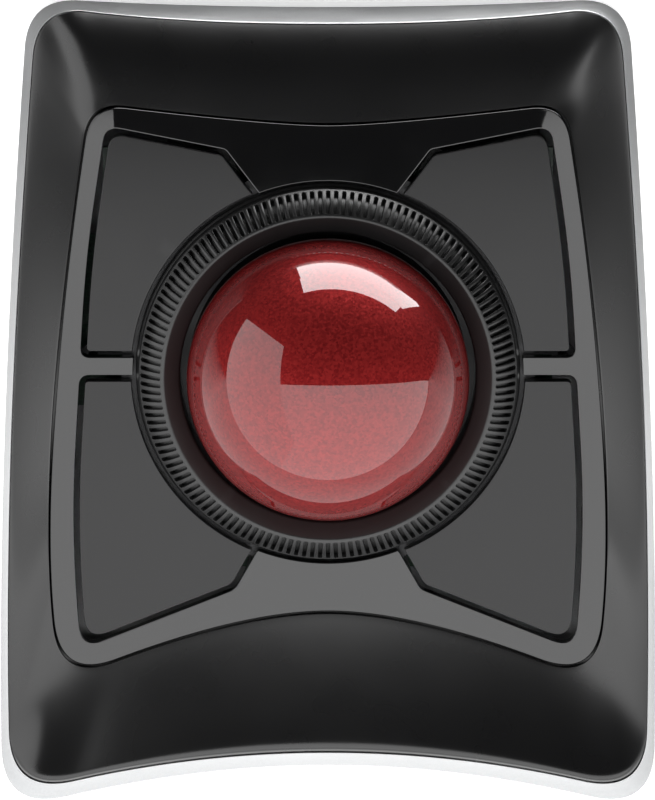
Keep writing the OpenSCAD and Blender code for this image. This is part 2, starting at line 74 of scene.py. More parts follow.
ring_joint = next(j for j in frame["joints"] if j["name"] == "scroll_ring_turn")
HEAD = Vector(ring_joint["pos_m"]) / MM
LEAN = math.atan2(-ring_joint["axis"][1], ring_joint["axis"][2])
BALL_R = (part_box("ball")[1].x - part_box("ball")[0].x) / 2 / MM
HALF_W = 64.4
WALL = 1.8
FLANK_POWER = 1.15
FOOT_H = 0.8
FLOOR_Z = 3.0

# The seam between shell and base: its height at the front corners, its climb along the sides and
# where that starts, how long it is and its power, and its drop under the deck's edge at the front and rear
SEAM_Z = 10.5
SEAM_CLIMB = 19.5
CLIMB_FROM = -77.0
CLIMB_OVER = 154.0
CLIMB_POWER = 1.8
FRONT_DROP = 1.2
REAR_DROP = 5.2
# How far the rear falls before it rolls over, how far the front rises and dips, and how late each rolls
REAR_FALL = 1.6
FRONT_RISE = 1.8
FRONT_DIP = 2.7
REAR_ROLL = 3.2
FRONT_ROLL = 60.0
# The base's wall: the height of its foot, how much it flares towards it, and how far the foot's
# rounding reaches inwards
WALL_FOOT = 4.6
WALL_FLARE = 1.7
FOOT_ROUND = 4.0
# How far the inside of the base's floor ends within the rim
FLOOR_INSET = 4.0
# Size of the triangles in the base's floor
FLOOR_STEP = 6.0
# The shell's lip below the seam and the base's groove for it: depth and thickness
LIP_DEPTH, LIP_T = 2.6, 2.2
GROOVE_DEPTH, GROOVE_T = 3.0, 2.8
GROOVE_GAP = 0.3
# The shell's ledge round the deck: depth to its top and its underside, and its width
LEDGE_TOP, LEDGE_LOW, LEDGE_W = 3.2, 4.7, 1.0
# Rounding of the shell's edge at the deck
SHELL_EDGE = 0.25
# The base's edge at the seam, as distances out of the rim and below the seam: where the wall ends, and
# where the rounding above it ends
WALL_END = (0.5, 0.6)
EDGE_END = (0.44, 0.25)
# The shell's inner face dips under the ledge, and ends below the seam
INNER_DIP = 3.2
INNER_END = 2.0
# The rings of the shell's outer face crowd towards the seam, and the last is this share short of the deck
RING_POWER = 1.5
RING_SHORT = 0.015
# Top of the shell's lip below the seam
LIP_TOP = 0.3

# The crown of the deck, along the head's axis
DECK_T = -4.48
CROWN_R = 420.0
# Radius of the crown that the polish of the plates follows, and front to back on the rear half of the
# frame: on its bar, which ends at BAR_X from the middle, and in its corners
POLISH_R = 300.0
BAR_R = 215.0
BAR_X = 41.5
CORNER_R = 360.0
# The plates of the frame and the buttons: thickness, edge roundings and their steps, and the longest
# edge of their outlines and the size of the triangles within them
PLATE_T = 2.4
FRAME_FILLET = 0.28
BUTTON_FILLET = 0.22
FILLET_STEPS = 5
EDGE_STEP = 0.9
PLATE_STEP = 2.0 if FINE else 4.0
# The well of the ring in the frame and in the buttons, and the frame's gaps to the shell and to the buttons
WELL_R = 38.0
BUTTON_WELL_R = 38.4
FRAME_GAP = 0.5
BUTTON_GAP = 1.1

# Profile of the scroll ring (radius, height), the length that the rounding of each corner takes,
# and the two corners that end the knurled face
RING_PROFILE = [
    (28.8, -2), (32.1, 0), (32.6, -0.2), (36.65, -4.25), (36.9, -4.6), (36.9, -6.8), (37.5, -7.2),
    (37.5, -10.4), (34.6, -10.4), (34.6, -5.4), (32.2, -5.4), (32.2, -9.5), (28.8, -9.5),
]
RING_ROUND = [0.5, 0.4, 0.04, 0.04, 0.3, 0.15, 0.25, 0.3, 0.2, 0.2, 0.2, 0.2, 0.3]
ROUND_STEPS = 3
KNURL_FACE = (2, 3)
KNURL_CROWN = 0.35
RIDGES = 144
# Points round the ring at each ridge, of which 1 to 5 are in the slot
RIDGE_POINTS = 8
SLOT_L = 5.6
SLOT_W = 0.82
SLOT_DEPTH = 1.2
SLOT_CHAMFER = 0.08

# Right halves of the outlines in plan, from front to rear: front middle, front bend,
# front corner, side bulge, rear corner, rear bend, rear middle
DECK_PLAN = [(0, -41.9), (16.5, -41.9), (53, -55.7), (57, -11.4), (46.4, 58), (11.6, 53.8), (0, 53.8)]
RIM_PLAN = [
    (0, -68.9), (25, -68.9), (HALF_W - 1.9, -77.6), (HALF_W - 0.7, -12),
    (HALF_W - 7.6, 76.6), (26, 73), (0, 73),
]
BASE_PLAN = [
    (0, -72.1), (25, -72.1), (HALF_W - 0.1, -81.19), (HALF_W + 0.98, -12),
    (HALF_W - 5.2, 79.44), (26, 77.6), (0, 77.6),
]
# Right-hand buttons in the head's plan, with the roundings of their corners and of their bays in the frame
UPPER_BUTTON = [(30, 9.5), (47.1, 9.5), (46, 27.5), (42.4, 51.9), (20.6, 47.6), (12, 36.4)]
UPPER_ROUND = [0, 0.9, 12, 3, 0.6, 0]
UPPER_BAY_ROUND = [0, 1.9, 12, 3, 0.6, 0]
LOWER_BUTTON = [(11.7, -23.6), (18.9, -36.1), (47.6, -47.4), (49.2, -24), (47.4, 3.7), (30, 3.7)]
LOWER_ROUND = [0, 1, 5, 16, 0.9, 0]
LOWER_BAY_ROUND = [0, 1, 5, 16, 1.9, 0]
# Points in the rounding of a corner
CORNER_N = 8

# Openings of the base's floor: boxes as x0, y0, x1, y1 and the cut of their corners
DOOR_HOLE = (-27.9, 25.9, 27.9, 63.1, 0.8)
SWITCH_HOLE = (-47, 5, -43, 15, 0.5)
RECEIVER_HOLE = (34.4, 38, 40.6, 53, 0.6)
# and circles as x, y, radius; those in pairs are on both sides
PAIR_HOLE = (-45, 24, 2.6)
PAIRED_HOLES = [(46, 70.2, 5.1), (50, -68.5, 4.6), (47, 60, 2.7), (52, -58, 2.7)]


# ---------- curves in plan ----------

def step_to(a, b, d):
    """The point at distance d from a towards b."""
    return a + (b - a).normalized() * d


def bend(p, c, q, n):
    """n points of the curve from p to q that leaves and arrives along its control point c."""
    return [p * (1 - t) ** 2 + c * 2 * t * (1 - t) + q * t * t for t in (i / n for i in range(n))]


def outline(plan, front_cut, rear_cut, n):
    """Closed outline, anticlockwise from the front middle, of a right half given by control points."""
    c = [Vector(p) for p in plan]
    a = step_to(c[2], c[1], front_cut)
    b = step_to(c[2], c[3], front_cut)
    d = step_to(c[4], c[3], rear_cut)
    e = step_to(c[4], c[5], rear_cut)
    half = (
        bend(c[0], c[1], a, n) + bend(a, c[2], b, n) + bend(b, c[3], d, 2 * n)
        + bend(d, c[4], e, n) + bend(e, c[5], c[6], n) + [c[6]]
    )
    return half + [Vector((-p.x, p.y)) for p in reversed(half[1:-1])]


def grow(points, d):
    """Polygon with every edge moved outwards by d; the corners run anticlockwise."""
    made = []
    for i, p in enumerate(points):
        u = (p - points[i - 1]).normalized()
        v = (points[(i + 1) % len(points)] - p).normalized()
        m, n = Vector((u.y, -u.x)), Vector((v.y, -v.x))
        made.append(p + (m + n) * d / (1 + m.dot(n)))
    return made


def soften(points, cuts, n):
    """Polygon with its corners rounded; a cut is the length that a rounding takes from each edge."""
    made = []
    for i, p in enumerate(points):
        if cuts[i] == 0:
            made.append(p)
            continue
        a = step_to(p, points[i - 1], cuts[i])
        b = step_to(p, points[(i + 1) % len(points)], cuts[i])
        made += bend(a, p, b, n) + [b]
    return made


def even(points, step):
    """The closed outline with points added so that no edge is longer than step."""
    made = []
    for i, p in enumerate(points):
        q = points[(i + 1) % len(points)]
        n = max(1, math.ceil((q - p).length / step))
        made += [p.lerp(q, k / n) for k in range(n)]
    return made


def inside(p, loop):
    """Whether a point is inside a closed line."""
    hit = False
    for i, a in enumerate(loop):
        b = loop[i - 1]
        if (a.y > p.y) != (b.y > p.y) and p.x < (b.x - a.x) * (p.y - a.y) / (b.y - a.y) + a.x:
            hit = not hit
    return hit


# ---------- the head ----------

def head_matrix():
    """From the head's own frame to the part's."""
    return Matrix.Translation(HEAD) @ Matrix.Rotation(LEAN, 4, "X")


def deck_t(x, v):
    """Height of the deck's crown in the head, over a point of the head's plan."""
    return DECK_T - (x * x + v * v) / (2 * CROWN_R)


def deck_z(p):
    """Height of the deck over a point in plan."""
    v = (p.y - HEAD.y) / math.cos(LEAN)
    return HEAD.z + (p.y - HEAD.y) * math.tan(LEAN) + deck_t(p.x, v) / math.cos(LEAN)


def to_head(p):
    """Place on the deck, in the head's own plan, of a point in plan."""
    v = p.y - HEAD.y
    for _ in range(4):
        v = (p.y - HEAD.y + deck_t(p.x, v) * math.sin(LEAN)) / math.cos(LEAN)
    return Vector((p.x, v))


# ---------- meshes ----------

def outwards(points, faces):
    """The faces, turned round if together they enclose a negative volume."""
    volume = 0.0
    for f in faces:
        a = points[f[0]]
        for b, c in zip(f[1:], f[2:]):
            volume += a.dot(points[b].cross(points[c]))
    return faces if volume > 0 else [tuple(reversed(f)) for f in faces]


def place(name, points, faces, matrix=None, normals=None, sharp=None):
    """A smooth-shaded mesh object in metres from points in millimetres."""
    points = [matrix @ Vector(p) if matrix else Vector(p) for p in points]
    mesh = bpy.data.meshes.new(name)
    mesh.from_pydata([p * MM for p in points], [], outwards(points, faces))
    mesh.validate()
    for f in mesh.polygons:
        f.use_smooth = True
    if sharp is not None:
        mesh.set_sharp_from_angle(angle=math.radians(sharp))
    if normals:
        turn = matrix.to_3x3() if matrix else Matrix.Identity(3)
        mesh.normals_split_custom_set_from_vertices([(turn @ n).normalized() for n in normals])
    obj = bpy.data.objects.new(name, mesh)
    bpy.context.scene.collection.objects.link(obj)
    return obj


def strips(rings, closed):
    """Faces between rings that hold the same number of points; closed joins the last to the first."""
    n = len(rings[0])
    faces = []
    for j in range(len(rings) if closed else len(rings) - 1):
        a, b = j * n, (j + 1) % len(rings) * n
        faces += [(a + i, a + (i + 1) % n, b + (i + 1) % n, b + i) for i in range(n)]
    return faces


def fill(loops, step):
    """Points and triangles that fill loops[0] except its holes, the other loops."""
    points = [p for loop in loops for p in loop]
    edges, start = [], 0
    for loop in loops:
        edges += [(start + i, start + (i + 1) % len(loop)) for i in range(len(loop))]
        start += len(loop)
    spots = list(points)
    lo = Vector((min(p.x for p in loops[0]), min(p.y for p in loops[0])))
    hi = Vector((max(p.x for p in loops[0]), max(p.y for p in loops[0])))
    clear = step * 0.55
    for i in range(int((hi.x - lo.x) / step) + 1):
        for k in range(int((hi.y - lo.y) / step) + 1):
            p = Vector((lo.x + (i + 0.5 * (k % 2)) * step, lo.y + k * step))
            if sum(inside(p, loop) for loop in loops) == 1 and inside(p, loops[0]):
                if min((p - q).length for q in points) > clear:
                    spots.append(p)
    verts, _, faces, origin, _, _ = delaunay_2d_cdt(spots, edges, [], 0, 1e-5)
    kept = []
    for f in faces:
        middle = sum((verts[i] for i in f), Vector((0, 0))) / len(f)
        if inside(middle, loops[0]) and not any(inside(middle, loop) for loop in loops[1:]):
            kept.append(tuple(f))
    order = {old[0]: new for new, old in enumerate(origin) if old}
    return verts, kept, order


def polish(p, bar):
    """The polished top's normal in the head. The frame's rear bar is rounded more than its corners."""
    r = POLISH_R
    if bar and p.y > 0:
        r = BAR_R if abs(p.x) < BAR_X else CORNER_R
    return Vector((p.x / POLISH_R, p.y / r, 1)).normalized()


def plate(name, loops, fillet, bar=False):
    """A crowned plate in the head: loops are its outline (anticlockwise) and its holes (clockwise)."""
    points, normals, faces = [], [], []
    # steps down the side and round the fillet: inset, drop below the crown and turn from side to top
    profile = [(0, PLATE_T, 0), (0, fillet * 1.05, 0)]
    for k in range(FILLET_STEPS + 1):
        a = math.pi / 2 * k / FILLET_STEPS
        profile.append((fillet * (1 - math.cos(a)), fillet * (1 - math.sin(a)), a))
    tops = []
    for loop in loops:
        edge = [to_head(p) for p in even(loop, EDGE_STEP)]
        out = [(b - a).normalized() for a, b in zip(edge, grow(edge, 1))]
        rings = []
        for inset, drop, turn in profile:
            moved = grow(edge, -inset)
            ring = []
            for p, o in zip(moved, out):
                up = polish(p, bar)
                ring.append(Vector((p.x, p.y, deck_t(p.x, p.y) - drop)))
                side = Vector((o.x, o.y, 0))
                normals.append((side * math.cos(turn) + up * math.sin(turn)).normalized())
            rings.append(ring)
        base = len(points)
        points += [p for ring in rings for p in ring]
        faces += [tuple(i + base for i in f) for f in strips(rings, False)]
        tops.append((base, len(edge), len(rings) - 1, [Vector(p[:2]) for p in rings[-1]]))
    # the crowned top, on the last ring of every loop
    verts, triangles, order = fill([t[3] for t in tops], PLATE_STEP)
    index, k = {}, 0
    for base, n, last, _ in tops:
        for i in range(n):
            index[order[k]] = base + last * n + i
            k += 1
    bottom = {}
    for i, p in enumerate(verts):
        if i not in index:
            index[i] = len(points)
            points.append(Vector((p.x, p.y, deck_t(p.x, p.y))))
            normals.append(polish(p, bar))
    faces += [tuple(index[i] for i in f) for f in triangles]
    # the underside, on the first ring of every loop
    k = 0
    for base, n, _, _ in tops:
        for i in range(n):
            bottom[order[k]] = base + i
            k += 1
    for i, p in enumerate(verts):
        if i not in bottom:
            bottom[i] = len(points)
            points.append(Vector((p.x, p.y, deck_t(p.x, p.y) - PLATE_T)))
            normals.append(Vector((0, 0, -1)))
    faces += [tuple(bottom[i] for i in reversed(f)) for f in triangles]
    return place(name, points, faces, head_matrix(), normals)


# ---------- ball and scroll ring ----------

def ball():
    """A sphere made from the six faces of a cube, so that it has no poles."""
    n = 72 if FINE else 32
    points, faces, index = [], [], {}

    def corner(p):
        key = tuple(round(c, 5) for c in p)
        if key not in index:
            index[key] = len(points)
            points.append(p * BALL_R)
        return index[key]

    lean = [math.tan(math.pi / 4 * (2 * i / n - 1)) for i in range(n + 1)]
    for axis in range(3):
        for sign in (-1, 1):
            grid = {}
            for i in range(n + 1):
                for k in range(n + 1):
                    p = Vector((0, 0, 0))
                    p[axis], p[(axis + 1) % 3], p[(axis + 2) % 3] = sign, sign * lean[i], lean[k]
                    grid[i, k] = corner(p.normalized())
            for i in range(n):
                for k in range(n):
                    faces.append((grid[i, k], grid[i + 1, k], grid[i + 1, k + 1], grid[i, k + 1]))
    return place("ball_gloss", points, faces, Matrix.Translation(HEAD), [p.normalized() for p in points])


def slot_rows():
    """Rows across a knurl slot, from inner to outer end: distance along the face, half width, depth."""
    half, r = SLOT_L / 2, SLOT_W / 2
    ends = [(half - r + r * math.sin(a), max(r * math.cos(a), 0.03)) for a in (math.pi / 6 * k for k in range(4))]
    outer = [(s, w, SLOT_DEPTH) for s, w in ends] + [(half + 0.02, 0.03, 0)]
    inner = [(-s, w, d) for s, w, d in reversed(outer)]
    return inner + [(s, r, SLOT_DEPTH) for s in (-1, 0, 1)] + outer


def scroll_ring():
    """The knurled ring: a profile turned round the head's axis, with slots of constant width."""
    a, b = (Vector(RING_PROFILE[k]) for k in KNURL_FACE)
    along = (b - a).normalized()
    out = Vector((-along.y, along.x))
    middle = (a + b) / 2
    flat = soften([Vector(p) for p in RING_PROFILE], RING_ROUND, ROUND_STEPS)
    # the profile starts just past the knurled face, and each of its corners holds ROUND_STEPS + 1 points
    start = (KNURL_FACE[0] + 1) * (ROUND_STEPS + 1)
    flat = flat[start:] + flat[:start]
    rows = [(p, SLOT_W / 2, 0) for p in flat]
    reach = (b - a).length / 2
    for s, w, depth in slot_rows():
        rows.append((middle + along * s + out * KNURL_CROWN * (1 - (s / reach) ** 2), w, depth))
    points = []
    for p, w, depth in rows:
        low = p - out * depth
        chamfer = SLOT_CHAMFER / 2 if depth else 0
        across = [(0, low), (w * 0.85, low), (w, p - out * chamfer), (w + SLOT_CHAMFER, p)]
        for i in range(RIDGES):
            turn, half = 2 * math.pi * i / RIDGES, math.pi / RIDGES
            u, v = Vector((math.cos(turn), math.sin(turn))), Vector((-math.sin(turn), math.cos(turn)))
            for y, q in [(-y, q) for y, q in reversed(across[1:])] + across:
                points.append(Vector((*(u * q.x + v * y), q.y)))
            points.append(Vector((p.x * math.cos(turn + half), p.x * math.sin(turn + half), p.y)))
    n = RIDGE_POINTS * RIDGES
    rings = [points[k * n:(k + 1) * n] for k in range(len(rows))]
    ring = place("ring_knurled", points, strips(rings, True), head_matrix(), None, 35)
    # The faces deep in the slots take a second, near-black and dull finish: painted shade in the slots.
    deep = {k * n + i for k, row in enumerate(rows) if row[2] for i in range(n) if 1 <= i % RIDGE_POINTS <= 5}
    for f in ring.data.polygons:
        f.material_index = int(all(i in deep for i in f.vertices))
    return ring


# ---------- case ----------

ROUND = 24 if FINE else 10
deck_line = outline(DECK_PLAN, 12, 7, ROUND)
rim_line = outline(RIM_PLAN, 13, 10, ROUND)
base_line = outline(BASE_PLAN, 13, 10, ROUND)
outward = [(r - d).normalized() for r, d in zip(rim_line, deck_line)]


def mix(a, b, share):
    """a where the share is 0, and b where it is 1."""
    return a + (b - a) * share


def level(line, d, z):
    """A ring at one height, d outwards of a line."""
    return [Vector((p.x + o.x * d, p.y + o.y * d, z)) for p, o in zip(line, outward)]


def beside_deck(d, depth):
    """A ring below the deck's edge and d outwards of it."""
    return [
        Vector((p.x + o.x * d, p.y + o.y * d, z - depth)) for p, o, z in zip(deck_line, outward, deck_height)
    ]


def shares():
    """Share of the end's shape at each point: 1 at the front and the rear, 0 at the sides."""
    made = []
    for i in range(len(rim_line)):
        along = rim_line[(i + 1) % len(rim_line)] - rim_line[i - 1]
        made.append((along.x / along.length) ** 2)
    return made


def seam():
    """Height of the seam at each point: it climbs along the sides and follows the deck at the ends."""
    made = []
    for p, o, high, end in zip(rim_line, outward, deck_height, end_share):
        side = SEAM_Z + SEAM_CLIMB * max(0, (p.y - CLIMB_FROM) / CLIMB_OVER) ** CLIMB_POWER
        made.append(mix(side, high - (REAR_DROP if o.y > 0 else FRONT_DROP), end))
    return made


deck_height = [deck_z(p) for p in deck_line]
end_share = shares()
seam_height = seam()


def under_seam(line, d, depth):
    """A ring below the seam, d outwards of a line."""
    return [
        Vector((p.x + o.x * d, p.y + o.y * d, z - depth)) for p, o, z in zip(line, outward, seam_height)
    ]


def wall_ring(up):
    """A ring on the base's wall: up is 0 at its foot and 1 at the seam."""
    ring = []
    for p, q, o, z in zip(rim_line, base_line, outward, seam_height):
        spot = (p + o * WALL_END[0]).lerp(q, (1 - up) ** WALL_FLARE)
        ring.append(Vector((spot.x, spot.y, mix(WALL_FOOT, z - WALL_END[1], up))))
    return ring


def flank(s, inset=0.0):
    """A ring on the shell: s is 0 at the deck and 1 at the seam. Sides and ends blend by end_share."""
    ring = []
    for p, q, o, high, low, end in zip(deck_line, rim_line, outward, deck_height, seam_height, end_share):
        spot = p.lerp(q, s) - o * inset
        side = low + (high - low) * (1 - s) ** FLANK_POWER
        if o.y > 0:
            tail = high - REAR_FALL * s - (high - REAR_FALL - low) * s ** REAR_ROLL
        else:
            tail = high + FRONT_RISE * s - FRONT_DIP * s * (1 - s) - (high + FRONT_RISE - low) * s ** FRONT_ROLL
        z = mix(side, tail, end)
        if inset:
            z = max(z - inset - INNER_DIP * (1 - s) ** 4, low - INNER_END)
        ring.append(Vector((spot.x, spot.y, z)))
    return ring


def top_shell():
    """The shell: up its outer face, over the edge of the deck, round the ledge and down its inner face."""
    steps = 40 if FINE else 16
    rings = [under_seam(rim_line, 0, LIP_DEPTH), under_seam(rim_line, 0, LIP_TOP)]
    rings += [flank(1 - (k / steps) ** RING_POWER * (1 - RING_SHORT)) for k in range(steps + 1)]
    top = flank(0.0)
    for a in (20, 45, 70, 90):
        dip = SHELL_EDGE * (1 - math.cos(math.radians(a)))
        back = SHELL_EDGE * 0.4 * (1 - math.sin(math.radians(a)))
        rings.append([Vector((p.x + o.x * back, p.y + o.y * back, p.z - dip)) for p, o in zip(top, outward)])
    rings += [beside_deck(0, LEDGE_TOP), beside_deck(-LEDGE_W, LEDGE_TOP), beside_deck(-LEDGE_W, LEDGE_LOW)]
    rings += [flank(s, WALL) for s in (0.1, 0.3, 0.55, 0.8)]
    rings.append(under_seam(rim_line, -LIP_T, LIP_DEPTH))
    return place("shell", [p for r in rings for p in r], strips(rings, True), None, None, 38)


def circle(x, y, r, n=48):
    """A circle in plan, clockwise as the holes are."""
    turns = [-2 * math.pi * i / n for i in range(n)]
    return [Vector((x + r * math.cos(a), y + r * math.sin(a))) for a in turns]


def box_loop(x0, y0, x1, y1, cut):
    """A rectangle in plan with rounded corners, clockwise as the holes are."""
    corners = [Vector(c) for c in ((x0, y0), (x0, y1), (x1, y1), (x1, y0))]
    return soften(corners, [cut] * 4, 4)


def base_shell():
    """Tray with a flared wall, painted outside only: a loft, and a floor with its openings."""
    bottom, inner = level(base_line, -FOOT_ROUND, FOOT_H), level(rim_line, -FLOOR_INSET, FLOOR_Z)
    rings = [bottom]
    for a in range(15, 91, 15):
        turn = math.radians(a)
        up = FOOT_H + (WALL_FOOT - FOOT_H) * (1 - math.cos(turn)) ** 0.92
        rings.append(level(base_line, FOOT_ROUND * (math.sin(turn) - 1), up))
    steps = 16 if FINE else 8
    rings += [wall_ring(k / steps) for k in range(1, steps + 1)]
    rings.append(under_seam(rim_line, *EDGE_END))
    outer = len(rings)
    rings += [
        under_seam(rim_line, GROOVE_GAP, 0.1), under_seam(rim_line, GROOVE_GAP, GROOVE_DEPTH),
        under_seam(rim_line, -GROOVE_T, GROOVE_DEPTH), inner,
    ]
    holes = [box_loop(*DOOR_HOLE), box_loop(*SWITCH_HOLE), circle(*PAIR_HOLE), box_loop(*RECEIVER_HOLE)]
    for x, y, r in PAIRED_HOLES:
        holes += [circle(x, y, r), circle(-x, y, r)]
    points = [p for r in rings for p in r]
    faces = strips(rings, False)
    n, last = len(bottom), (len(rings) - 1) * len(bottom)
    walls = []
    for hole in holes:
        walls.append(len(points))
        points += [Vector((p.x, p.y, FOOT_H)) for p in hole] + [Vector((p.x, p.y, FLOOR_Z)) for p in hole]
        m, base = len(hole), walls[-1]
        faces += [(base + i, base + (i + 1) % m, base + m + (i + 1) % m, base + m + i) for i in range(m)]
    bare = set(range(outer * n, len(rings) * n))
    for ring, start, z, side in ((bottom, 0, FOOT_H, 0), (inner, last, FLOOR_Z, 1)):
        verts, triangles, order = fill([[Vector(p[:2]) for p in ring]] + holes, FLOOR_STEP)
        index, k = {}, 0
        for i in range(n):
            index[order[k]] = start + i
            k += 1
        for base, hole in zip(walls, holes):
            for i in range(len(hole)):
                index[order[k]] = base + side * len(hole) + i
                k += 1
                if side:
                    bare.add(base + len(hole) + i)
        for i, p in enumerate(verts):
            if i not in index:
                index[i] = len(points)
                points.append(Vector((p.x, p.y, z)))
                if side:
                    bare.add(index[i])
        for f in triangles:
            f = tuple(index[i] for i in f)
            faces.append(f if side else tuple(reversed(f)))
    base = place("base", points, faces, None, None, 32)
    for f in base.data.polygons:
        f.material_index = int(all(i in bare for i in f.vertices))
    return base


# ---------- frame and buttons ----------

def well_loop(r, n=160):
    """The ring well's edge in plan, where it cuts the crown."""
    made = []
    for i in range(n):
        a = 2 * math.pi * i / n
        x, v, t = r * math.cos(a), r * math.sin(a), deck_t(r, 0)
        made.append(Vector((x, HEAD.y + v * math.cos(LEAN) - t * math.sin(LEAN))))
    return made


def crossing(p, q, loop):
    """Where p to q crosses a loop, and the index of the loop's edge there."""
    for i, a in enumerate(loop):
        b = loop[(i + 1) % len(loop)]
        d, e = q - p, b - a
        bottom = d.x * e.y - d.y * e.x
        if abs(bottom) < 1e-9:
            continue
        s = ((a.x - p.x) * e.y - (a.y - p.y) * e.x) / bottom
        t = ((a.x - p.x) * d.y - (a.y - p.y) * d.x) / bottom
        if 0 <= s <= 1 and 0 <= t < 1:
            return p + d * s, i
    raise ValueError("the polygon doesn't cross the well")


def outer_run(polygon, well):
    """The part of a polygon's edge outside the well, and the well's edges where it starts and ends."""
    n = len(polygon)
    outside = [not inside(p, well) for p in polygon]
    first = next(i for i in range(n) if outside[i] and not outside[i - 1])
    run = []
    k = first
    while outside[k % n]:
        run.append(polygon[k % n])
        k += 1
    enter, a = crossing(polygon[first - 1], run[0], well)
    leave, b = crossing(run[-1], polygon[k % n], well)
    return [enter] + run + [leave], a, b


def clear_of(points, ends):
    """The points that aren't almost on one of the ends."""
    return [p for p in points if min((p - q).length for q in ends) > 0.25]


def mirrored(points):
    """The closed line on the other side, still anticlockwise."""
    return [Vector((-p.x, p.y)) for p in reversed(points)]


def frame_loops():
    """The frame's outer edge, and its one opening: the ring well with a bay for each button."""
    well = well_loop(WELL_R)
    upper = soften(grow([Vector(p) for p in UPPER_BUTTON], BUTTON_GAP), UPPER_BAY_ROUND, CORNER_N)
    lower = soften(grow([Vector(p) for p in LOWER_BUTTON], BUTTON_GAP), LOWER_BAY_ROUND, CORNER_N)
    bays = [outer_run(p, well) for p in (upper, lower, mirrored(upper), mirrored(lower))]
    ends = [run[k] for run, _, _ in bays for k in (0, -1)]
    hole, at = [], 0
    for run, enters, leaves in sorted(bays, key=lambda bay: bay[1]):
        hole += clear_of(well[at:enters + 1], ends) + run
        at = leaves + 1
    hole += clear_of(well[at:], ends)
    edge = [p - o * FRAME_GAP for p, o in zip(deck_line, outward)]
    return [edge, hole[::-1]]


def trim_frame():
    """The gloss frame that fills the deck round the buttons and the ring."""
    return plate("frame_trim", frame_loops(), FRAME_FILLET, bar=True)


def button(name, corners, cuts, left):
    """A button's cap: its outline ends at the well of the ring."""
    well = well_loop(BUTTON_WELL_R)
    run, enters, leaves = outer_run(soften([Vector(p) for p in corners], cuts, CORNER_N), well)
    arc = clear_of(well[enters + 1:leaves + 1], [run[0], run[-1]])
    loop = run + arc[::-1]
    if left:
        loop = mirrored(loop)
    return plate(name, [loop], BUTTON_FILLET)


# ---------- materials ----------

def finish(tree, node, **values):
    """Sets a node's inputs to numbers, colours or other nodes' outputs. _ in a name is a space."""
    for name, value in values.items():
        socket = node.inputs[name.replace("_", " ")]
        if isinstance(value, bpy.types.NodeSocket):
            tree.links.new(value, socket)
        else:
            socket.default_value = value


def add(tree, kind, **values):
    """A new shader node with some of its inputs set."""
    node = tree.nodes.new("ShaderNode" + kind)
    finish(tree, node, **values)
    return node


def choose(tree, factor, a, b):
    """Shader a where the factor is 0, and b where it is 1."""
    pick = add(tree, "MixShader", Fac=factor)
    tree.links.new(a, pick.inputs[1])
    tree.links.new(b, pick.inputs[2])
    return pick.outputs[0]


def noise(tree, coords, size, detail=3.0, squeeze=None):
    """Noise between 0 and 1 with cells of a size in millimetres."""
    if squeeze:
        coords = add(tree, "Mapping", Vector=coords, Scale=squeeze).outputs[0]
    return add(tree, "TexNoise", Vector=coords, Scale=1 / (size * MM), Detail=detail).outputs["Fac"]


def spread(tree, value, low, high, start=0.3, stop=0.7):
    """The value taken from start and stop to low and high, and held beyond them."""
    node = add(tree, "MapRange", Value=value, From_Min=start, From_Max=stop, To_Min=low, To_Max=high)
    return node.outputs[0]


def shade(tree, factor, a, b):
    """Colour a where the factor is 0, and b where it is 1."""
    node = tree.nodes.new("ShaderNodeMix")
    node.data_type = "RGBA"
    tree.links.new(factor, node.inputs["Factor"])
    for socket, colour in ((node.inputs[6], a), (node.inputs[7], b)):
        if isinstance(colour, bpy.types.NodeSocket):
            tree.links.new(colour, socket)
        else:
            socket.default_value = (*colour, 1)
    return node.outputs[2]


def bump(tree, height, depth, normal=None):
    """Bump with its depth in millimetres."""
    values = {"Height": height, "Distance": depth * MM, "Strength": 1.0}
    if normal:
        values["Normal"] = normal
    return add(tree, "Bump", **values).outputs[0]


def material(name):
    """A new material: the material, its tree, its shader and object coordinates in metres."""
    mat = bpy.data.materials.new(name)
    mat.use_nodes = True
    tree = mat.node_tree
    return mat, tree, tree.nodes["Principled BSDF"], add(tree, "TexCoord").outputs["Object"]


def moulded(name, colour, rough, grain=0.3, depth=0.004, vary=0.05, worn=1.6, specular=0.5):
    """Moulded plastic: a fine grain, slow changes in gloss, and paler edges."""
    mat, tree, shader, coords = material(name)
    fine, cloud = noise(tree, coords, grain), noise(tree, coords, 14)
    edge = spread(tree, add(tree, "NewGeometry").outputs["Pointiness"], 0, 1, 0.53, 0.58)
    rub = add(tree, "Math", Value=edge)
    rub.operation = "MULTIPLY"
    tree.links.new(spread(tree, noise(tree, coords, 3), 0.2, 1), rub.inputs[1])
    pale = tuple(min(1, c * worn + 0.002) for c in colour)
    finish(
        tree, shader, Base_Color=shade(tree, rub.outputs[0], colour, pale),
        Roughness=spread(tree, cloud, rough - vary, rough + vary), Normal=bump(tree, fine, depth),
        Specular_IOR_Level=specular,
    )
    return mat


def polished(name, colour, rough, specular=0.5):
    """Gloss plastic with a slight orange peel and hairline scratches."""
    mat, tree, shader, coords = material(name)
    lines = noise(tree, coords, 0.5, 2, (1, 0.03, 0.2))
    cross = noise(tree, coords, 0.5, 2, (0.03, 1, 0.2))
    peel = bump(tree, noise(tree, coords, 2.5, 1), 0.0006)
    scratch = bump(tree, spread(tree, lines, 0, 1, 0.68, 0.75), 0.0004, peel)
    scratch = bump(tree, spread(tree, cross, 0, 1, 0.7, 0.77), 0.0004, scratch)
    finish(
        tree, shader, Base_Color=(*colour, 1), Normal=scratch,
        Roughness=spread(tree, noise(tree, coords, 9, 5), rough * 0.7, rough * 1.5), Specular_IOR_Level=specular,
    )
    return mat


